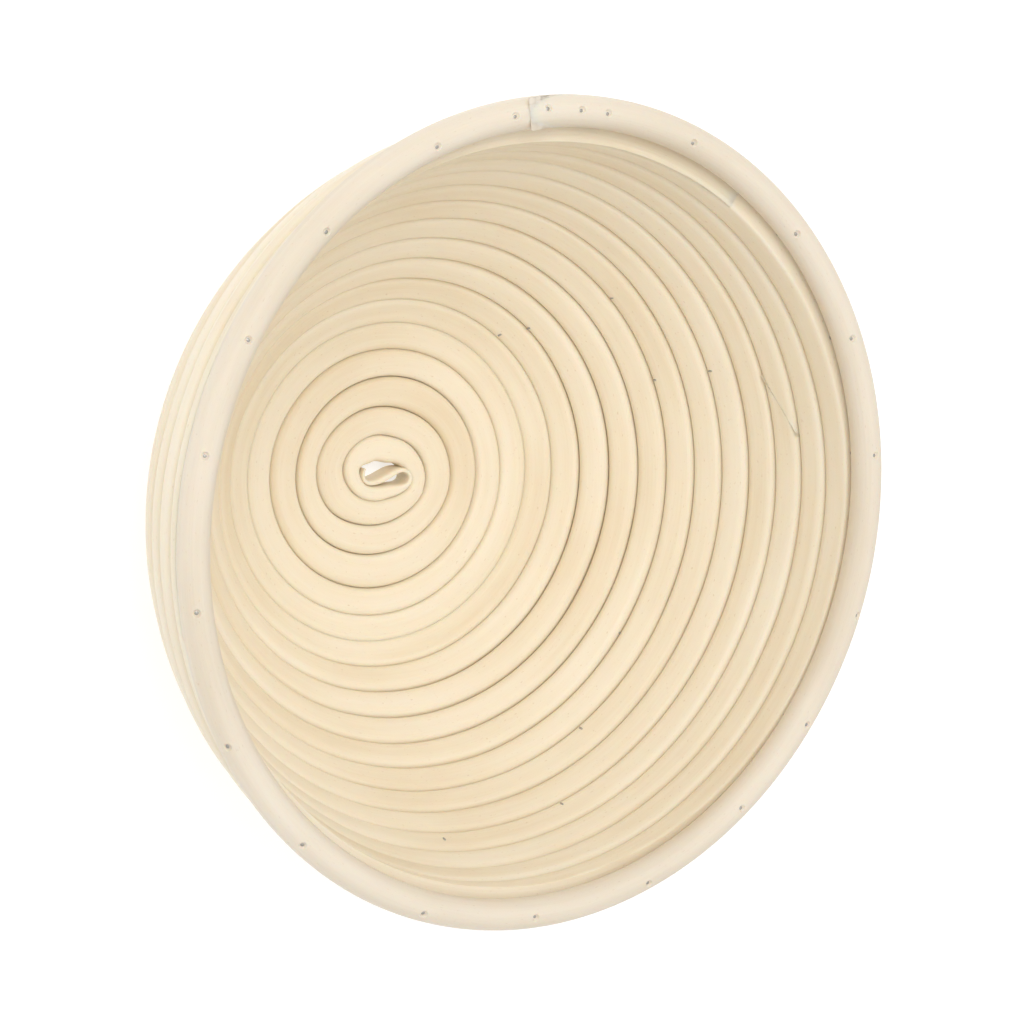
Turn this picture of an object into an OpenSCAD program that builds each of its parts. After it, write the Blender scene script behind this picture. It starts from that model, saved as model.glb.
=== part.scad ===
// Banneton: a round proofing basket wound from rattan cane.
//
// The cane is coiled clockwise, seen from above. Flat turns form the base, and the later turns
// stack up into the wall, which leans out further on +X than on -X. The coil is two canes long,
// joined end to end by a scarf. A heavier cane, bent into a hoop and lapped on itself, sits on
// the wall as the rim. Steel pins hold every turn to the turn inside it, and the hoop to the
// wall.
//
// Millimetres, +Z up. The origin is below the middle of the hoop, on the underside.

/* [Cane] */
// Diameter of the cane that the coil is wound from
cane_d = 8.8; // [8.4:0.1:9.2]
// Room between one turn and the next
turn_gap = 0.2; // [0.16:0.02:0.3]
// Diameter of the heavier cane of the hoop
hoop_d = 10.6; // [10:0.1:11.2]
// Depth rubbed off the underside so that the basket stands flat
rubbed = 0.3; // [0.2:0.1:0.6]

/* [Shape] */
// Number of flat turns that form the base
base_turns = 5; // [4:1:6]
// Lean of the lower wall, in degrees above level
foot_lean = 43.5; // [42:0.5:46]
// Turn from which the wall grows steeper
steepen_from = 10; // [9:1:11]
// Degrees that each turn above that one adds to the lean
steepen = 5; // [4:0.5:5.5]
// Degrees by which the wall leans out further on +X, and less on -X
skew = 5; // [3:0.5:5.5]
// Tilt of the hoop, which is lower on +X as the wall is, in degrees
hoop_tilt = 2.3; // [2:0.1:2.6]

/* [Joints in the cane] */
// Turn at which the first cane ends and the second one starts
splice_turn = 14.91; // [14.7:0.01:14.92]
// Length of the scarf between the two canes
scarf_length = 20; // [18:1:24]
// Length of the lap where the ends of the hoop meet
lap_length = 27; // [24:1:32]
// Place of the lap, in degrees clockwise from +X
lap_angle = 255; // [252:1:257]

/* [Pins] */
// Diameter of the pins
pin_d = 1.4; // [1.2:0.1:1.6]
// Distance along a turn from one pin to the next
pin_spacing = 55; // [54:1:58]
// Length of the pins that hold the hoop
hoop_pin_length = 15; // [14:0.5:16]
// Depth of a pin's head below the surface of the cane
sunk = 0.6; // [0.4:0.1:1]

/* [Hidden] */
pitch = cane_d + turn_gap;
cane_r = cane_d / 2;
hoop_r = hoop_d / 2;
base_z = cane_r - rubbed;

// Turns of the coil, counted from the centre, at which it starts and ends
first_turn = 1;
last_turn = 17.8;
// Turns whose pins go into the turn inside them
first_pinned = 2;
last_pinned = 16;
// Part of the distance between pins by which the first pin of a turn is moved round
pin_start = 0.3;
// Degrees by which the wall leaves level with each turn past the base
foot_rise = 20;
// Turn that the hoop sits on, its lean on that turn, in degrees above level, and the room left
// under it for the climb of the turn
hoop_turn = 17;
hoop_lean = 74;
hoop_lift = 0.3;
// Distance by which the middle of the hoop lies towards -X from the middle of that turn
hoop_shift = 2.3;
// Angle that each cane reaches past the middle of the scarf before it is cut
scarf_reach = 12;
// Length of the collar over each joint between two half turns of the wall
collar_length = 1.5;
// Height of the collar above the cane
collar_proud = 0.03;
// Angle by which the half turns of the wall stop short of their joint, inside the collar
joint_room = 0.05;
// Longer than the whole basket
far = 400;

// Places of the hoop's pins, in degrees clockwise from +X, and of their heads on the round of
// the hoop, in degrees above level on its outer side. They are driven by eye.
HOOP_PINS = [[0, 80], [18, 88], [35, 90], [54, 73], [74, 80], [92, 68], [115, 77], [134, 73],
    [153, 112], [175, 122], [192, 138], [211, 136], [232, 104], [275, 76], [298, 91],
    [317, 86], [336, 84]];
LAP_PINS = [[244.5, 81], [250, 67], [255.5, 71], [260, 70]];
// Places of the scarf's pins, in mm along the cane from the middle of the scarf
SCARF_PINS = [-4, 4];
// Place of the pin through the skived end of the outer cane, in turns of the coil, and of its
// head on the round of that cane, in degrees below level on the outer side
end_pin_turn = 17.51;
end_pin_slant = 55;

first_turn_node = 7;

// ---- Course of the coil ----
// A station lies every half turn, on +X when even and on -X when odd. Each is one pitch from
// the station a full turn before it, along the lean of the wall. Half-turn arcs join them.
function side(k) = k % 2 == 0 ? 1 : -1;

// Lean of the wall just below half turn k
function lean(k) =
    min(foot_rise * max(0, k / 2 - base_turns),
        foot_lean + steepen * max(0, k / 2 - steepen_from))
    - side(k) * skew * min(1, max(0, k / 2 - base_turns));

// Distance from the middle of the base, and height, of the centre line at half turn k
function station(k) =
    k < 2 ? [k * pitch / 2, base_z]
          : station(k - 2) + pitch * [cos(lean(k)), sin(lean(k))];

// Middle of the hoop, measured from the middle of the base, and the height and radius at which
// it is seated on its turn
hoop_k = 2 * hoop_turn;
opposite = (station(hoop_k - 1) + station(hoop_k + 1)) / 2;
hoop_middle = (station(hoop_k)[0] - opposite[0]) / 2 - hoop_shift;
hoop_seat = (station(hoop_k) + opposite) / 2 + [0, hoop_lift]
    + (cane_r + hoop_r + turn_gap) * [cos(hoop_lean), sin(hoop_lean)];

function end_point(k) = [side(k) * station(k)[0] - hoop_middle, 0, station(k)[1]];
function unit(v) = v / norm(v);

// Point on the centre line, t turns from the centre
function coil(t) =
    let (k = floor(2 * t), a = end_point(k), b = end_point(k + 1), u = 180 * (2 * t - k))
    (a + b) / 2 + (a - b) / 2 * cos(u) - [0, side(k) * norm(a - b) / 2 * sin(u), 0];

// The half turns of the wall lean differently, so they are joined inside collars. Those of the
// base lie in one plane and meet end to end.
function has_collar(k) = k >= 2 * base_turns;

// The cane along half turn k, between two angles
module half_turn(k, from = 0, to = 180) {
    a = end_point(k);
    b = end_point(k + 1);
    start = from + (from == 0 && has_collar(k) ? joint_room : 0);
    stop = to - (to == 180 && has_collar(k + 1) ? joint_room : 0);
    translate((a + b) / 2)
        rotate([0, asin((b[2] - a[2]) / norm(b - a)), 90 - 90 * side(k)])
        rotate([0, 0, -start])
        rotate_extrude(angle = start - stop, $fn = 96)
        translate([norm(b - a) / 2, 0])
        circle(r = cane_r, $fn = 48);
}

// A thin sleeve over the joint at the start of half turn k
module collar(k) {
    if (has_collar(k))
        translate(end_point(k))
        rotate([90, 0, 0])
        cylinder(h = collar_length, r = cane_r + collar_proud, center = true, $fn = 48);
}

// Everything below the surface that the basket stands on
module ground() {
    translate([0, 0, -pitch]) cylinder(h = pitch, r = far);
}

// A straight round rod that starts at a point and runs along a direction
module rod(start, along, length, d) {
    translate(start)
        rotate([0, acos(unit(along)[2]), atan2(along[1], along[0])])
        cylinder(h = length, d = d, $fn = 24);
}

// ---- Pins between one turn and the turn inside it ----
// A pin runs from the outer side of its turn to the middle of the turn inside. It is driven
// into the solid cane, so no hole is drilled for it.
function pin_count(turn) = max(3, round(2 * PI * station(2 * turn)[0] / pin_spacing));
function turn_pin_places(turn) =
    [for (i = [0 : pin_count(turn) - 1]) turn + (i + pin_start) / pin_count(turn)];

module turn_pins(turn) {
    color("silver") for (t = turn_pin_places(turn))
        rod(coil(t) + (cane_r - sunk) * unit(coil(t) - coil(t - 1)), coil(t - 1) - coil(t),
            pitch + cane_r - sunk, pin_d);
}

// ---- Hoop ----
// The hoop lies in one plane, which is lowest on +X.
module on_hoop() {
    translate([0, 0, hoop_seat[1]]) rotate([0, hoop_tilt, 0]) children();
}

// Moves its children to the hoop's centre line: X outward, Y anticlockwise, Z up
module at_hoop(angle) {
    on_hoop() rotate([0, 0, -angle]) translate([hoop_seat[0], 0, 0]) children();
}

// A pin from its head on the hoop into the middle of the turn under it. A reach above 0 makes
// it stand out of the hoop by that much, as the tool for its hole.
module hoop_pin(place, reach = 0) {
    head = (hoop_r - sunk) * [cos(place[1]), sin(place[1])];
    aim = head + (cane_r + hoop_r + turn_gap) * [cos(hoop_lean), sin(hoop_lean)];
    at_hoop(place[0])
        translate([head[0], 0, head[1]])
        rotate([0, atan2(aim[0], aim[1]), 0])
        translate([0, 0, -hoop_pin_length])
        cylinder(h = hoop_pin_length + reach, d = pin_d, $fn = 24);
}

// Everything above the plane of the hoop's underside, to which the end of the coil is skived
module above_skive() {
    on_hoop() translate([0, 0, -hoop_r - turn_gap]) cylinder(h = hoop_d, r = far);
}

module rim_hoop() {
    color("blanchedalmond") difference() {
        on_hoop()
            rotate([0, 0, -lap_angle])
            rotate_extrude($fn = 96)
            translate([hoop_seat[0], 0])
            circle(r = hoop_r, $fn = 64);
        at_hoop(lap_angle)
            rotate([atan(hoop_d / lap_length), 0, 0])
            cube([2 * hoop_d, 2 * lap_length, turn_gap], center = true);
        for (place = concat(HOOP_PINS, LAP_PINS)) hoop_pin(place, hoop_d);
    }
}

module hoop_pins() {
    color("silver") for (place = HOOP_PINS) hoop_pin(place);
}

module lap_pins() {
    color("silver") for (place = LAP_PINS) hoop_pin(place);
}

// ---- Scarf between the two canes ----
// The inner cane ends above the scarf's plane and the outer cane starts below it.
splice_k = floor(2 * splice_turn);
splice_angle = 180 * (2 * splice_turn - splice_k);

// X up the wall, Y anticlockwise along the cane, Z into the basket
module at_scarf() {
    p = coil(splice_turn);
    translate(p)
        rotate([0, 0, atan2(p[1], p[0] + hoop_middle)])
        rotate([0, -lean(splice_k), 0])
        children();
}

// A block on one side of the scarf's plane, longer than the cut: 1 is above it, -1 below it
module scarf_side(which) {
    block = 4 * scarf_length;
    at_scarf()
        rotate([0, 0, atan(cane_d / scarf_length)])
        translate([which > 0 ? turn_gap / -2 : turn_gap / 2 - block, block / -2, block / -2])
        cube([block, block, block]);
}

module scarf_pin(along, reach = 0) {
    at_scarf()
        translate([-pitch, along, 0])
        rotate([0, 90, 0])
        cylinder(h = pitch + cane_r - sunk + reach, d = pin_d, $fn = 24);
}

module scarf_pins() {
    color("silver") for (along = SCARF_PINS) scarf_pin(along);
}

// This pin runs from outside, through the skived end, to the middle of the turn under it. It is
// driven into the solid cane as well.
module end_pin() {
    p = coil(end_pin_turn);
    outward = unit([p[0] + hoop_middle, p[1], 0]);
    head = p + (cane_r - sunk) * (cos(end_pin_slant) * outward - [0, 0, sin(end_pin_slant)]);
    inside = coil(end_pin_turn - 1);
    color("silver") rod(head, inside - head, norm(inside - head), pin_d);
}

// ---- Canes ----
module inner_cane() {
    color("wheat") difference() {
        union() {
            for (k = [2 * first_turn : splice_k - 1]) half_turn(k);
            for (k = [2 * first_turn + 1 : splice_k]) collar(k);
            difference() {
                half_turn(splice_k, to = splice_angle + scarf_reach);
                scarf_side(-1);
            }
        }
        ground();
        for (along = SCARF_PINS) scarf_pin(along, cane_d);
    }
}

module outer_cane() {
    last_k = floor(2 * last_turn);
    color("burlywood") difference() {
        union() {
            difference() {
                half_turn(splice_k, from = splice_angle - scarf_reach);
                scarf_side(1);
            }
            for (k = [splice_k + 1 : last_k - 1]) half_turn(k);
            half_turn(last_k, to = 180 * (2 * last_turn - last_k));
            for (k = [splice_k + 1 : last_k]) collar(k);
        }
        above_skive();
        for (place = concat(HOOP_PINS, LAP_PINS)) hoop_pin(place);
        for (along = SCARF_PINS) scarf_pin(along, cane_d);
    }
}

inner_cane();
outer_cane();
rim_hoop();
hoop_pins();
lap_pins();
scarf_pins();
end_pin();
for (turn = [first_pinned : last_pinned])
    turn_pins(turn);
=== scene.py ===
import math
import random

import bpy
import numpy as np
from mathutils import Matrix, Vector


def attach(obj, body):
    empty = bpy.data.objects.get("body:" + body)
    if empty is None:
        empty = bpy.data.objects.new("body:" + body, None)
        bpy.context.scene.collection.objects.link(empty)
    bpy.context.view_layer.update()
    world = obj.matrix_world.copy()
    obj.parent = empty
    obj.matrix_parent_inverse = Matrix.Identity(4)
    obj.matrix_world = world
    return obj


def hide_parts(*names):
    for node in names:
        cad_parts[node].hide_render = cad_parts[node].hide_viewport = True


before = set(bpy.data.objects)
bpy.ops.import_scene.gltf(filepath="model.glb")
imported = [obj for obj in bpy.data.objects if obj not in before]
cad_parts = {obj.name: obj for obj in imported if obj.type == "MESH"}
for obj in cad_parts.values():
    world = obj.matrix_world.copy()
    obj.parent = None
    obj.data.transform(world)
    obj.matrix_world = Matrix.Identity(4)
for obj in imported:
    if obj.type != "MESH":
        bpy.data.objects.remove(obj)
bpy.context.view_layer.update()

# A round proofing basket wound from rattan cane. The canes and the hoop are swept as closed
# tubes along the same coil as in the CAD, pressed flat against each other.

# ---------------------------------------------------------------- sizes, in mm
MM = 0.001
CANE_R = 4.4
PITCH = 9.0
BASE_Z = 4.1
BASE_TURNS = 5
FOOT_RISE, FOOT_LEAN = 20.0, 43.5
STEEPEN_FROM, STEEPEN = 10, 5.0
SKEW = 5.0
TURN_GAP = 0.2                          # between the hoop and the cane under it
# The highest turns lie a little further apart on +X
SPREAD, SPREAD_FROM = 0.26, 13
# How far the cane under the hoop reaches past its own half, at its place in turns
FILL = [(16.79, 0), (16.803, 2.1), (16.83, 1.75), (16.87, 1.2), (16.92, 0.8), (17.0, 0.5),
        (17.05, 0.4), (17.12, 0)]
# How far round the hoop the skived end reaches, as a share of its radius; 1 is flat
SNUG = 0.45
# The hoop: half its thickness, its tilt, and how its seat leans on the cane, in degrees
HOOP_R = 4.4
HOOP_TILT = 2.4
HOOP_LEAN = 73.0
SPLICE_TURN, SCARF_LENGTH = 14.91, 20.0
LAP_ANGLE, LAP_LENGTH = 252.5, 28.0
LAST_TURN = 17.8
HALF_TURNS = 40                         # stations of the coil, more than it has
SKIVE_ROOM = 0.08                       # between the skived end and the hoop
LAP_ROOM = 0.012                        # each end of the hoop to the plane of the lap
SCARF_ROOM = 0.06                       # each cane to the plane of the scarf
SUNK = 0.6
PIN_R = 0.7
GLINT_R, GLINT_REACH = 0.32, 0.6
# Angle of each pin clockwise from +X, and of its head on the round of the hoop, in degrees
HOOP_PINS = [(0.8, 68), (18.8, 80), (35.2, 88), (54.2, 73), (74.2, 84), (93.2, 64), (116.2, 58),
             (134.8, 42), (154, 66), (174.8, 69), (191, 82), (209.2, 98), (229.8, 97),
             (274.2, 103), (298.2, 112), (317.8, 102), (336.5, 87)]
LAP_PINS = [(243, 86), (248.5, 75), (254, 85), (258.5, 89)]
HOOP_PIN_LENGTH = 15.0
# Looks of the canes
CORE_START, CORE_PITCH = 2.7, 8.46      # the turns of the base are wound more tightly
FLAT_POWER, WALL_POWER = 3.7, 3.3       # 2 is a round section, more is flatter on top
SIDES = 40
# The hoop is bent by hand, so it is a little longer across than from -X to +X
OVAL_X, OVAL_Y = 108.3, 111.6
OVAL_MIDDLE = (2.54, 1.0)
HOOP_Z = 96.0
# Distance from the middle of the base to the CAD's origin, towards +X
ORIGIN_X = 4.957
STEP = 1.6
LENS = 113.06
# Light
FLOOR_GLOW = 0.54
SKY_LOW, SKY_HIGH = 0.38, 1.09


# ---------------------------------------------------------------- course of the coil
def side(k):
    return 1 if k % 2 == 0 else -1


def lean(k):
    turns = k / 2
    rise = min(FOOT_RISE * max(0, turns - BASE_TURNS),
               FOOT_LEAN + STEEPEN * max(0, turns - STEEPEN_FROM))
    return math.radians(rise - side(k) * SKEW * min(1, max(0, turns - BASE_TURNS)))


def make_stations(count):
    """Distance from the middle of the base, and height, of the centre line every half turn."""
    out = []
    for k in range(count):
        if k <= 2 * BASE_TURNS:
            out.append((CORE_START + CORE_PITCH * k / 2, BASE_Z))
        elif k == 2 * BASE_TURNS + 1:
            r = BASE_TURNS * PITCH - PITCH / 2
            out.append((r + PITCH * math.cos(lean(k)), BASE_Z + PITCH * math.sin(lean(k))))
        else:
            r, z = out[k - 2]
            apart = PITCH + (SPREAD if side(k) == 1 and k > 2 * SPREAD_FROM else 0)
            out.append((r + apart * math.cos(lean(k)), z + apart * math.sin(lean(k))))
    return out


STATIONS = make_stations(HALF_TURNS)
SEAT_REACH = CANE_R + HOOP_R + TURN_GAP
ENDS = np.array([[side(k) * r - ORIGIN_X, 0.0, z] for k, (r, z) in enumerate(STATIONS)])
BASE_X = -ORIGIN_X


def coil(t):
    """Points on the centre line, t turns from the middle, for an array t."""
    t = np.asarray(t, float)
    k = np.clip(np.floor(2 * t).astype(int), 0, len(ENDS) - 2)
    u = np.pi * (2 * t - k)
    a, b = ENDS[k], ENDS[k + 1]
    half = (a - b) / 2
    out = (a + b) / 2 + half * np.cos(u)[:, None]
    sign = np.where(k % 2 == 0, 1, -1)
    out[:, 1] -= sign * np.linalg.norm(half, axis=1) * np.sin(u)
    return out


def unit(v):
    return v / np.linalg.norm(v, axis=-1, keepdims=True)


def waves(x, seed, longest, shortest, count=7):
    """Smooth noise between about -1 and 1 along a length x in mm."""
    rng = random.Random(seed)
    x = np.asarray(x, float)
    out = np.zeros_like(x)
    for i in range(count):
        f = i / (count - 1)
        length = longest ** (1 - f) * shortest ** f * rng.uniform(0.8, 1.25)
        out += np.sin(2 * math.pi * (x / length + rng.random())) * (0.55 - 0.3 * f)
    return out / 1.6


GRID_T = np.linspace(0, 19, 19 * 360 + 1)
GRID_L = np.concatenate([[0], np.cumsum(np.linalg.norm(np.diff(coil(GRID_T), axis=0), axis=1))])


def along(t):
    return np.interp(t, GRID_T, GRID_L)


def turn_at(length):
    return np.interp(length, GRID_L, GRID_T)


# The groove between two turns wanders a little, and both turns follow it.
def groove(s):
    return 0.16 * waves(along(s), 11, 260, 38)


# ---------------------------------------------------------------- meshes
def add_piece(name, rings, uvs, closed_ends=True):
    """A closed tube from rings of points, in mm, with a UV map that runs along the cane."""
    rings = np.asarray(rings, float)
    n, m = rings.shape[:2]
    verts = (rings.reshape(-1, 3) * MM).tolist()
    i, j = np.meshgrid(np.arange(n - 1), np.arange(m), indexing="ij")
    jn = (j + 1) % m
    quads = np.stack([i * m + j, i * m + jn, (i + 1) * m + jn, (i + 1) * m + j], -1).reshape(-1, 4)
    first, last = rings[0].mean(0) * MM, rings[-1].mean(0) * MM
    verts += [first.tolist(), last.tolist()]
    faces = quads.tolist()
    a, b = n * m, n * m + 1
    faces += [[a, (k + 1) % m, k] for k in range(m)]
    faces += [[b, (n - 1) * m + k, (n - 1) * m + (k + 1) % m] for k in range(m)]
    mesh = bpy.data.meshes.new(name)
    mesh.from_pydata(verts, [], faces)
    lengths, rounds = uvs
    layer = mesh.uv_layers.new(name="cane")
    values = np.zeros((len(mesh.loops), 2))
    uq = np.stack([np.stack([lengths[i], rounds[j]], -1),
                   np.stack([lengths[i], rounds[j + 1]], -1),
                   np.stack([lengths[i + 1], rounds[j + 1]], -1),
                   np.stack([lengths[i + 1], rounds[j]], -1)], 2).reshape(-1, 2)
    values[:len(uq)] = uq
    at = len(uq)
    for end, ring in ((0, range(m)), (n - 1, range(m))):
        for k in ring:
            values[at:at + 3] = (lengths[end], rounds[k])
            at += 3
    layer.data.foreach_set("uv", values.astype(np.float32).ravel())
    mesh.validate()
    mesh.shade_smooth()
    mesh.set_sharp_from_angle(angle=math.radians(50))
    mesh.update()
    piece = bpy.data.objects.new(name, mesh)
    bpy.context.scene.collection.objects.link(piece)
    return piece


def superellipse(count, power):
    phi = np.linspace(0, 2 * math.pi, count, endpoint=False) - math.pi / 2
    c, s = np.cos(phi), np.sin(phi)
    return (np.sign(c) * np.abs(c) ** (2 / power), np.sign(s) * np.abs(s) ** (2 / power))


def radial(c):
    """Directions level and outward from the middle of the base."""
    out = c.copy()
    out[:, 0] -= BASE_X
    out[:, 2] = 0
    return unit(out)


def boundary(t):
    """Middle of the groove between turn t and the turn outside it."""
    c = coil(t)
    return (c + coil(t + 1)) / 2 + radial(c) * (groove_shift(t) + groove(t + 0.5))[:, None]


def centre(t):
    """Middle of the cane, with the wander of the first grooves."""
    c = coil(t)
    return c + radial(c) * ((groove_shift(t) + groove_shift(t - 1)) / 2)[:, None]


def cane_rings(t):
    """Sections of the cane at turns t, their middles, and their axes up the wall and inward."""
    eps = 0.002
    c = centre(t)
    tangent = unit(centre(t + eps) - centre(t - eps))
    length = along(t)
    up = boundary(t) - c
    down = c - boundary(t - 1)
    # the turns of the base are wound tighter, so they are flatter on top
    power = np.interp(t, [4.5, 8], [FLAT_POWER, WALL_POWER])
    above, below = np.linalg.norm(up, axis=1), np.linalg.norm(down, axis=1)
    # where the last turn passes below the hoop it fills the groove
    above = above + np.interp(t, *zip(*FILL))
    up, down = unit(up), unit(down)
    inward = unit(np.cross(tangent, up + down))
    deep = CANE_R * (1 + 0.015 * waves(length, 5, 180, 30))
    phi = np.linspace(0, 2 * math.pi, SIDES, endpoint=False) - math.pi / 2
    c1, s1 = np.cos(phi)[None, :], np.sin(phi)[None, :]
    e = (2 / power)[:, None]
    cw = np.sign(c1) * np.abs(c1) ** e
    cn = np.sign(s1) * np.abs(s1) ** e
    w = np.where(cw >= 0, cw * above[:, None], cw * below[:, None])
    axis = np.where((cw >= 0)[:, :, None], up[:, None, :], down[:, None, :])
    pts = (c[:, None, :] + axis * w[:, :, None]
           + inward[:, None, :] * (cn * deep[:, None])[:, :, None])
    return pts, c, unit(up + down), inward


def flatten(rings):
    """The underside is rubbed down flat."""
    rings[:, :, 2] = np.maximum(rings[:, :, 2], 0.0)
    return rings


ROUND_UV = np.linspace(0, 2 * math.pi * CANE_R * MM, SIDES + 1)

# ---- the middle: the cane's end is shaved thin, folded across the middle and wound up oval
# Radius of the groove outside each of the first turns, every eighth of a turn from +X
FIRST_GROOVES = [10.2, 7.7, 8.1, 10.2, 12.9, 12.6, 12.0, 13.6, 15.4, 14.8, 15.8, 19.2,
                 21.3, 21.0, 20.6, 22.3, 23.5, 22.7, 23.2, 25.6, 28.0]
# How thick the first turn is at its place in turns
THICKNESS = [(0, 1.9), (0.03, 2.6), (0.06, 3.5), (0.11, 4.2), (0.25, 4.8), (0.375, 4.5),
             (0.5, 5.6), (0.6, 7.8), (0.75, 8.2), (0.875, 6.7), (1, 5.2)]
# The folded end: x and y from the middle of the base, half thickness
TIP = [(-6.2, 0.6, 0.4), (-6.2, -1.2, 0.55), (-5.4, -2.7, 0.7), (-3.7, -3.2, 0.85),
       (-1.7, -2.6, 1.0), (0.3, -1.3, 1.1), (2.2, 0.4, 1.1), (3.9, 2.0, 1.0),
       (5.6, 3.1, 0.85), (7.3, 3.4, 0.75), (8.7, 2.7, 0.75), (9.4, 1.4, 0.8)]
EIGHTHS = len(FIRST_GROOVES) - 1


def smooth_table(values, x):
    """Catmull-Rom through values at whole numbers."""
    v = np.array([2 * values[0] - values[1]] + list(values) + [2 * values[-1] - values[-2]])
    x = np.clip(x, 0, len(values) - 1 - 1e-9)
    i = np.floor(x).astype(int)
    u = x - i
    p0, p1, p2, p3 = v[i], v[i + 1], v[i + 2], v[i + 3]
    return 0.5 * (2 * p1 + (p2 - p0) * u + (2 * p0 - 5 * p1 + 4 * p2 - p3) * u ** 2
                  + (3 * p1 - p0 - 3 * p2 + p3) * u ** 3)


def groove_shift(t):
    """How far the groove outside turn t lies from the even spiral."""
    t = np.asarray(t, float)
    even = CORE_START + CORE_PITCH * (t + 0.5)
    out = smooth_table(FIRST_GROOVES, t * 8) - even
    return np.where(t * 8 >= EIGHTHS, 0.0, out) * np.clip((EIGHTHS - t * 8) / 4, 0, 1)


def spline(points, step):
    """A smooth curve through the points (Catmull-Rom), sampled about every step mm."""
    p = np.array(points, float)
    p = np.vstack([2 * p[0] - p[1], p, 2 * p[-1] - p[-2]])
    out = []
    for i in range(1, len(p) - 2):
        n = max(2, int(np.linalg.norm(p[i + 1][:2] - p[i][:2]) / step) + 1)
        for u in np.arange(n) / n:
            out.append(0.5 * ((2 * p[i]) + (p[i + 1] - p[i - 1]) * u
                              + (2 * p[i - 1] - 5 * p[i] + 4 * p[i + 1] - p[i + 2]) * u ** 2
                              + (3 * p[i] - p[i - 1] - 3 * p[i + 1] + p[i + 2]) * u ** 3))
    out.append(p[-2])
    return np.array(out)


def first_turn():
    """Centre line and half thickness of the tip and of the first turn, which it thickens into."""
    t = np.arange(0.0, 1.0, 0.02)
    outer = CORE_START + CORE_PITCH * (t + 0.5) + groove_shift(t)
    thick = np.interp(t, *zip(*THICKNESS))
    r = outer - thick / 2
    a = -2 * math.pi * t
    wound = np.stack([r * np.cos(a), r * np.sin(a), thick / 2], -1)
    folded = spline(TIP + [tuple(wound[0])], 0.5)[:-1]
    return np.concatenate([folded, wound])


def tip_rings():
    """Sections of the folded tip and of the first turn, and the length along them."""
    curve = first_turn()
    xy = curve[:, :2]
    tangent = np.gradient(xy, axis=0)
    tangent /= np.linalg.norm(tangent, axis=1, keepdims=True)
    out = np.stack([-tangent[:, 1], tangent[:, 0]], -1)
    rings = []
    for (x, y), o, h in zip(xy, out, curve[:, 2]):
        power = np.interp(h, [0.8, 3.5], [3.6, FLAT_POWER])
        cw, cn = superellipse(SIDES, power)
        ring = np.empty((SIDES, 3))
        ring[:, 0] = x + BASE_X + o[0] * cw * h
        ring[:, 1] = y + o[1] * cw * h
        ring[:, 2] = BASE_Z + cn * CANE_R
        rings.append(ring)
    lengths = np.concatenate([[0], np.cumsum(np.linalg.norm(np.diff(xy, axis=0), axis=1))])
    return np.array(rings), lengths


def inner_cane():
    start, tip_length = tip_rings()
    splice_l = along(SPLICE_TURN)
    first = turn_at(np.arange(along(1.0) + 1.0, along(2.6), 0.8))
    t = turn_at(np.arange(along(2.6), splice_l - 20, STEP))
    fine = turn_at(np.linspace(splice_l - 20 + 1, splice_l + SCARF_LENGTH / 2 - 0.25, 46))
    t = np.concatenate([first, t, fine])
    rings, c, w_axis, _ = cane_rings(t)
    rings = scarf_cut(rings, c, w_axis, splice_l - along(t), above=True)
    rings = np.concatenate([start, rings])
    lengths = np.concatenate([tip_length - tip_length[-1] + along(1.0), along(t)]) * MM
    return add_piece("inner_cane_wound", flatten(rings), (lengths, ROUND_UV))


def scarf_cut(rings, c, w_axis, y, above):
    """Moves points past the scarf's slanted plane back onto it, across the cane. y is the
    distance along the cane from the middle of the scarf, towards the coil's start."""
    limit = -y * 2 * CANE_R / SCARF_LENGTH
    w = np.einsum("nmk,nk->nm", rings - c[:, None, :], w_axis)
    if above:
        target = np.maximum(w, np.minimum(limit + SCARF_ROOM, w.max(1))[:, None])
    else:
        target = np.minimum(w, np.maximum(limit - SCARF_ROOM, w.min(1))[:, None])
    return rings + (target - w)[:, :, None] * w_axis[:, None, :]


def hoop_matrix():
    tilt = Matrix.Rotation(math.radians(HOOP_TILT), 4, "Y")
    return Matrix.Translation((*OVAL_MIDDLE, HOOP_Z)) @ tilt


def outer_cane():
    splice_l = along(SPLICE_TURN)
    fine = turn_at(np.linspace(splice_l - SCARF_LENGTH / 2 + 0.25, splice_l + 18, 44))
    t = turn_at(np.arange(splice_l + 18 + STEP, along(LAST_TURN), STEP))
    t = np.concatenate([fine, t])
    rings, c, w_axis, _ = cane_rings(t)
    rings = scarf_cut(rings, c, w_axis, splice_l - along(t), above=False)
    # the end of the coil is skived flat under the hoop, and hugs it on its outer side
    inv = np.array(hoop_matrix().inverted())
    fwd = np.array(hoop_matrix())
    local = rings @ inv[:3, :3].T + inv[:3, 3]
    ring = (OVAL_X + OVAL_Y) / 2
    off = (np.hypot(local[:, :, 0] / OVAL_X, local[:, :, 1] / OVAL_Y) - 1) * ring
    off = np.maximum(off, 0)
    top = -np.sqrt(np.maximum((HOOP_R + SKIVE_ROOM) ** 2 - off ** 2, (SNUG * HOOP_R) ** 2))
    local[:, :, 2] = np.minimum(local[:, :, 2], top)
    rings = local @ fwd[:3, :3].T + fwd[:3, 3]
    return add_piece("outer_cane_wound", rings, (along(t) * MM, ROUND_UV))


# ---- hoop
def on_oval(degrees, out, height):
    """Points on the basket from angles along the hoop and places on its section."""
    a = -np.radians(degrees)
    normal = unit(np.stack([np.cos(a) / OVAL_X, np.sin(a) / OVAL_Y, 0 * a], -1))
    line = np.stack([OVAL_X * np.cos(a), OVAL_Y * np.sin(a), 0 * a], -1)
    pts = line[:, None, :] + normal[:, None, :] * out[:, :, None]
    pts[:, :, 2] += height
    m = np.array(hoop_matrix())
    return pts @ m[:3, :3].T + m[:3, 3]


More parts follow.
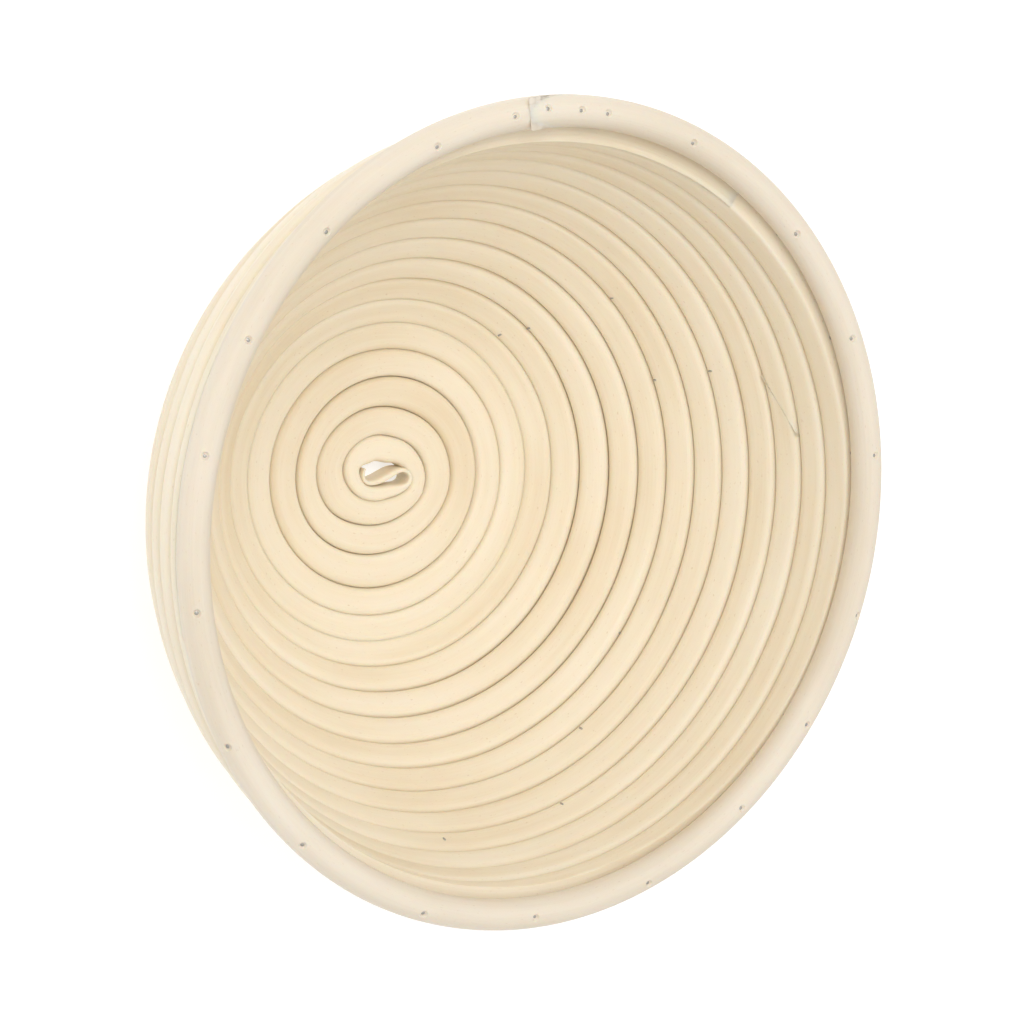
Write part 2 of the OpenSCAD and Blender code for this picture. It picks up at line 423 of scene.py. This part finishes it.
def hoop():
    ring = (OVAL_X + OVAL_Y) / 2
    start = LAP_ANGLE - math.degrees(LAP_LENGTH / 2 / ring) + 0.1
    stop = LAP_ANGLE + 360 + math.degrees(LAP_LENGTH / 2 / ring) - 0.1
    per = math.degrees(1 / ring)
    pins = HOOP_PINS + LAP_PINS
    marks = list(np.arange(start, stop, 2.4 * per)) + [stop]
    for a, _ in pins:
        for whole in (a, a + 360):
            if start < whole < stop:
                marks += list(whole + np.arange(-1.5, 1.51, 0.2) * per)
    marks = np.array(sorted(m for m in marks if start <= m <= stop))
    marks = marks[np.concatenate([[True], np.diff(marks) > 0.06 * per])]
    crown = np.radians(np.linspace(25, 128, 64))
    rest = np.radians(np.linspace(128, 385, 30))[1:-1]
    phi = np.concatenate([crown, rest])
    even = np.clip((marks - start) / 20, 0, 1) * np.clip((stop - marks) / 20, 0, 1)
    swell = HOOP_R * (1 + 0.008 * waves(marks * ring * math.pi / 180, 3, 200, 40) * even)
    radius = np.repeat(swell[:, None], len(phi), 1)
    for a, el in pins:
        for whole in (a, a + 360):
            dx = (marks - whole) / per
            dy = (phi - math.radians(el)) * HOOP_R
            d = np.hypot(dx[:, None], dy[None, :])
            rim = np.exp(-((d - 1.25) / 0.3) ** 2) * 0.06
            pit = 0.62 * (1 - np.clip((d - 0.74) / 0.34, 0, 1) ** 1.5)
            radius = radius + rim - np.where(d < 1.08, pit, 0)
    out = radius * np.cos(phi)[None, :]
    z = radius * np.sin(phi)[None, :]
    # the two ends lap on a slanted plane
    y = -(marks - LAP_ANGLE) / per
    y_end = -(marks - LAP_ANGLE - 360) / per
    slope = 2 * HOOP_R / LAP_LENGTH
    first = np.maximum(z, np.minimum(y * slope + LAP_ROOM, z.max(1))[:, None])
    last = np.minimum(z, np.maximum(y_end * slope - LAP_ROOM, z.min(1))[:, None])
    z = np.where((marks < LAP_ANGLE + 60)[:, None], first, z)
    z = np.where((marks > LAP_ANGLE + 300)[:, None], last, z)
    pts = on_oval(marks, out, z)
    rounds = np.concatenate([phi, [phi[0] + 2 * math.pi]]) * HOOP_R * MM
    return add_piece("rim_hoop_bent", pts[:, ::-1], (marks / per * MM, rounds[::-1]))


# ---- pins
def add_rods(name, rods, radius):
    """Short round wires with slightly domed ends, each from one point to another."""
    verts, faces = [], []
    around = np.linspace(0, 2 * math.pi, 16, endpoint=False)
    for head, foot in rods:
        axis = unit(np.array(head) - foot)
        side_a = unit(np.cross(axis, [0.31, 0.87, 0.39]))
        side_b = np.cross(axis, side_a)
        base = len(verts)
        levels = [(foot, 0.8), (foot + axis * 0.2, 1), (head - axis * 0.2, 1), (head, 0.7)]
        for place, share in levels:
            for q in around:
                v = place + radius * share * (side_a * math.cos(q) + side_b * math.sin(q))
                verts.append((v * MM).tolist())
        verts += [((foot - axis * 0.05) * MM).tolist(), ((head + axis * 0.06) * MM).tolist()]
        n = len(around)
        for level in range(3):
            for q in range(n):
                a, b = base + level * n + q, base + level * n + (q + 1) % n
                faces.append((a, b, b + n, a + n))
        for q in range(n):
            faces.append((base + 4 * n, base + (q + 1) % n, base + q))
            faces.append((base + 4 * n + 1, base + 3 * n + q, base + 3 * n + (q + 1) % n))
    mesh = bpy.data.meshes.new(name)
    mesh.from_pydata(verts, [], faces)
    mesh.validate()
    mesh.shade_smooth()
    mesh.set_sharp_from_angle(angle=math.radians(50))
    mesh.update()
    piece = bpy.data.objects.new(name, mesh)
    bpy.context.scene.collection.objects.link(piece)
    return piece


def hoop_pin_rods(places):
    rods = []
    lean_to = math.radians(HOOP_LEAN)
    for angle, el in places:
        head = (HOOP_R - SUNK) * np.array([math.cos(math.radians(el)), math.sin(math.radians(el))])
        aim = unit(head + SEAT_REACH * np.array([math.cos(lean_to), math.sin(lean_to)]))
        foot = head - aim * HOOP_PIN_LENGTH
        ends = on_oval(np.array([angle]), np.array([[head[0], foot[0]]]),
                       np.array([[head[1], foot[1]]]))[0]
        rods.append((ends[0], ends[1]))
    return rods


# Where a pin shows in the groove below its turn: turns of the coil, place across the cane
GLINTS = [(6.81, -0.3), (7.82, -0.38), (10.83, -0.34), (10.89, -0.38), (10.89, 0.6), (12.89, -0.3),
          (11.05, -0.46), (12.11, -0.3), (12.12, 0.52), (13.15, -0.5), (14.15, -0.26),
          (14.22, 0.0)]


def glint_rods():
    rods = []
    for t, across in GLINTS:
        at = np.array([t])
        _, c, up, inward = cane_rings(at)
        share = min(0.97, abs(across) / 0.5)
        power = float(np.interp(t, [4.5, 8], [FLAT_POWER, WALL_POWER]))
        height = CANE_R * (1 - share ** power) ** (1 / power)
        place = c[0] + up[0] * across * PITCH + inward[0] * (height + 0.05)
        reach = up[0] * GLINT_REACH + inward[0] * 0.1
        rods.append((place + reach, place - reach))
    return rods


# ---------------------------------------------------------------- materials
def new_material(name):
    mat = bpy.data.materials.new(name)
    mat.use_nodes = True
    nodes, links = mat.node_tree.nodes, mat.node_tree.links
    nodes.clear()
    out = nodes.new("ShaderNodeOutputMaterial")
    bsdf = nodes.new("ShaderNodeBsdfPrincipled")
    links.new(bsdf.outputs["BSDF"], out.inputs["Surface"])
    return mat, nodes, links, bsdf


def cane_material(name, dark, mid, pale, warm, streak=1.0, shift=0.0):
    """Peeled rattan: fine fibres along the cane, paler and darker patches, a few flecks."""
    mat, nodes, links, bsdf = new_material(name)
    uv = nodes.new("ShaderNodeUVMap")
    uv.uv_map = "cane"

    def noise(scale_u, scale_v, detail, rough, seed):
        mapping = nodes.new("ShaderNodeMapping")
        mapping.inputs["Scale"].default_value = (scale_u, scale_v, 1)
        mapping.inputs["Location"].default_value = (seed + shift, seed, seed)
        links.new(uv.outputs["UV"], mapping.inputs["Vector"])
        tex = nodes.new("ShaderNodeTexNoise")
        tex.inputs["Scale"].default_value = 1.0
        tex.inputs["Detail"].default_value = detail
        tex.inputs["Roughness"].default_value = rough
        links.new(mapping.outputs["Vector"], tex.inputs["Vector"])
        return tex

    fibres = noise(45, 2600, 3, 0.6, 3.1)
    strands = noise(9, 420, 2, 0.5, 7.7)
    patches = noise(14, 60, 3, 0.5, 12.3)
    flecks = noise(700, 3000, 1, 0.5, 21.9)

    ramp = nodes.new("ShaderNodeValToRGB")
    ramp.color_ramp.elements[0].position = 0.32
    ramp.color_ramp.elements[0].color = (*dark, 1)
    ramp.color_ramp.elements[1].position = 0.7
    ramp.color_ramp.elements[1].color = (*pale, 1)
    middle = ramp.color_ramp.elements.new(0.5)
    middle.color = (*mid, 1)

    def math_node(op, a, b):
        node = nodes.new("ShaderNodeMath")
        node.operation = op
        for socket, value in zip(node.inputs, (a, b)):
            if isinstance(value, (int, float)):
                socket.default_value = value
            else:
                links.new(value, socket)
        return node.outputs[0]

    tone = math_node("ADD", math_node("MULTIPLY", patches.outputs["Fac"], 0.55),
                     math_node("ADD", math_node("MULTIPLY", strands.outputs["Fac"], 0.27 * streak),
                               math_node("MULTIPLY", fibres.outputs["Fac"], 0.18 * streak)))
    tone = math_node("ADD", tone, 0.5 * (1 - 0.55 - 0.45 * streak))
    links.new(tone, ramp.inputs["Fac"])

    fleck = nodes.new("ShaderNodeMapRange")
    fleck.inputs["From Min"].default_value = 0.68
    fleck.inputs["From Max"].default_value = 0.78
    fleck.inputs["To Min"].default_value = 0.0
    fleck.inputs["To Max"].default_value = 0.35
    links.new(flecks.outputs["Fac"], fleck.inputs["Value"])
    mix = nodes.new("ShaderNodeMix")
    mix.data_type = "RGBA"
    for socket in mix.inputs:
        if socket.type == "RGBA" and socket.name == "B":
            socket.default_value = (*warm, 1)
    colours = [s for s in mix.inputs if s.type == "RGBA"]
    links.new(fleck.outputs["Result"], mix.inputs[0])
    links.new(ramp.outputs["Color"], colours[0])
    links.new([s for s in mix.outputs if s.type == "RGBA"][0], bsdf.inputs["Base Color"])

    gloss = nodes.new("ShaderNodeMapRange")
    gloss.inputs["From Min"].default_value = 0.3
    gloss.inputs["From Max"].default_value = 0.7
    gloss.inputs["To Min"].default_value = 0.62
    gloss.inputs["To Max"].default_value = 0.46
    links.new(strands.outputs["Fac"], gloss.inputs["Value"])
    links.new(gloss.outputs["Result"], bsdf.inputs["Roughness"])
    bump = nodes.new("ShaderNodeBump")
    bump.inputs["Strength"].default_value = 0.35
    bump.inputs["Distance"].default_value = 0.00012
    height = math_node("ADD", fibres.outputs["Fac"], strands.outputs["Fac"])
    links.new(height, bump.inputs["Height"])
    links.new(bump.outputs["Normal"], bsdf.inputs["Normal"])
    bsdf.inputs["Specular IOR Level"].default_value = 0.35
    bsdf.inputs["Subsurface Weight"].default_value = 0.3
    bsdf.inputs["Subsurface Radius"].default_value = (0.004, 0.0022, 0.0010)
    bsdf.inputs["Subsurface Scale"].default_value = 0.6
    return mat


def steel_material():
    mat, nodes, links, bsdf = new_material("pin_steel_wire")
    coord = nodes.new("ShaderNodeTexCoord")
    tex = nodes.new("ShaderNodeTexNoise")
    tex.inputs["Scale"].default_value = 900
    tex.inputs["Detail"].default_value = 2
    links.new(coord.outputs["Object"], tex.inputs["Vector"])
    ramp = nodes.new("ShaderNodeValToRGB")
    ramp.color_ramp.elements[0].color = (0.30, 0.29, 0.27, 1)
    ramp.color_ramp.elements[1].color = (0.52, 0.51, 0.48, 1)
    links.new(tex.outputs["Fac"], ramp.inputs["Fac"])
    links.new(ramp.outputs["Color"], bsdf.inputs["Base Color"])
    rough = nodes.new("ShaderNodeMapRange")
    rough.inputs["To Min"].default_value = 0.3
    rough.inputs["To Max"].default_value = 0.5
    links.new(tex.outputs["Fac"], rough.inputs["Value"])
    links.new(rough.outputs["Result"], bsdf.inputs["Roughness"])
    bsdf.inputs["Metallic"].default_value = 0.75
    return mat


def floor_material():
    mat, nodes, links, bsdf = new_material("pale_floor")
    bsdf.inputs["Base Color"].default_value = (0.6, 0.6, 0.6, 1)
    bsdf.inputs["Emission Color"].default_value = (1, 1, 1, 1)
    bsdf.inputs["Emission Strength"].default_value = FLOOR_GLOW
    bsdf.inputs["Roughness"].default_value = 0.9
    bsdf.inputs["Specular IOR Level"].default_value = 0.1
    return mat


cane_look = cane_material("cane_peeled", (0.79, 0.67, 0.485), (0.85, 0.755, 0.59),
                          (0.89, 0.815, 0.68), (0.56, 0.38, 0.20))
hoop_look = cane_material("hoop_cane_peeled", (0.72, 0.63, 0.495), (0.785, 0.70, 0.575),
                          (0.825, 0.76, 0.655), (0.55, 0.40, 0.26), streak=0.7, shift=40.0)
steel_look = steel_material()

# ---------------------------------------------------------------- pieces
inner = inner_cane()
outer = outer_cane()
rim = hoop()
for piece, look, node, slot in ((inner, cane_look, "inner_cane", "cane"),
                                (outer, cane_look, "outer_cane", "cane"),
                                (rim, hoop_look, "rim_hoop", "hoop_cane")):
    piece.data.materials.append(look)
    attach(piece, "root")
    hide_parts(node)

for name, rods, node in (("hoop_pins_wire", hoop_pin_rods(HOOP_PINS), "hoop_pins"),
                         ("lap_pins_wire", hoop_pin_rods(LAP_PINS), "lap_pins"),
                         ("turn_pins_showing", glint_rods(), None)):
    piece = add_rods(name, rods, PIN_R if node else GLINT_R)
    piece.data.materials.append(steel_look)
    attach(piece, "root")
    if node:
        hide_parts(node)

for name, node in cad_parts.items():
    if name.endswith("_pins") or name.endswith("_pin"):
        for material_slot in node.material_slots:
            material_slot.material = steel_look

# ---------------------------------------------------------------- floor, light and camera
mesh = bpy.data.meshes.new("floor")
reach = 6.0
mesh.from_pydata([(-reach, -reach, 0), (reach, -reach, 0), (reach, reach, 0), (-reach, reach, 0)],
                 [], [(0, 1, 2, 3)])
floor = bpy.data.objects.new("floor", mesh)
bpy.context.scene.collection.objects.link(floor)
mesh.materials.append(floor_material())

world = bpy.data.worlds.new("studio")
bpy.context.scene.world = world
world.use_nodes = True
back = world.node_tree.nodes["Background"]
back.inputs["Color"].default_value = (1.0, 0.995, 0.985, 1)
sky = world.node_tree.nodes.new("ShaderNodeTexCoord")
height = world.node_tree.nodes.new("ShaderNodeSeparateXYZ")
glow = world.node_tree.nodes.new("ShaderNodeMapRange")
glow.inputs["From Min"].default_value = 0.0
glow.inputs["From Max"].default_value = 0.9
glow.inputs["To Min"].default_value = SKY_LOW
glow.inputs["To Max"].default_value = SKY_HIGH
world.node_tree.links.new(sky.outputs["Generated"], height.inputs["Vector"])
world.node_tree.links.new(height.outputs["Z"], glow.inputs["Value"])
world.node_tree.links.new(glow.outputs["Result"], back.inputs["Strength"])


def area_light(name, place, aim, size, power, colour=(1, 1, 1)):
    data = bpy.data.lights.new(name, "AREA")
    data.shape = "DISK"
    data.size = size
    data.energy = power
    data.color = colour
    obj = bpy.data.objects.new(name, data)
    bpy.context.scene.collection.objects.link(obj)
    obj.location = place
    obj.rotation_euler = (Vector(aim) - Vector(place)).to_track_quat("-Z", "Y").to_euler()
    return obj


area_light("key", (-0.75, 0.55, 1.6), (0, 0, 0.05), 1.0, 9.5)

camera_data = bpy.data.cameras.new("camera")
camera_data.sensor_width = 36.0
camera_data.lens = LENS
camera_data.clip_end = 20.0
camera = bpy.data.objects.new("camera", camera_data)
bpy.context.scene.collection.objects.link(camera)
forward = Vector((0.50359, 0.01035, -0.86388)).normalized()
up = Vector((-0.24717, 0.95986, -0.13259))
right = forward.cross(up).normalized()
up = right.cross(forward)
place = Vector((-446.9 + BASE_X, -9.45, 854.2)) * MM
turn = Matrix((right, up, -forward)).transposed()
camera.matrix_world = Matrix.Translation(place) @ turn.to_4x4()
bpy.context.scene.camera = camera

view = bpy.context.scene.view_settings
view.view_transform = "Standard"
view.look = "None"
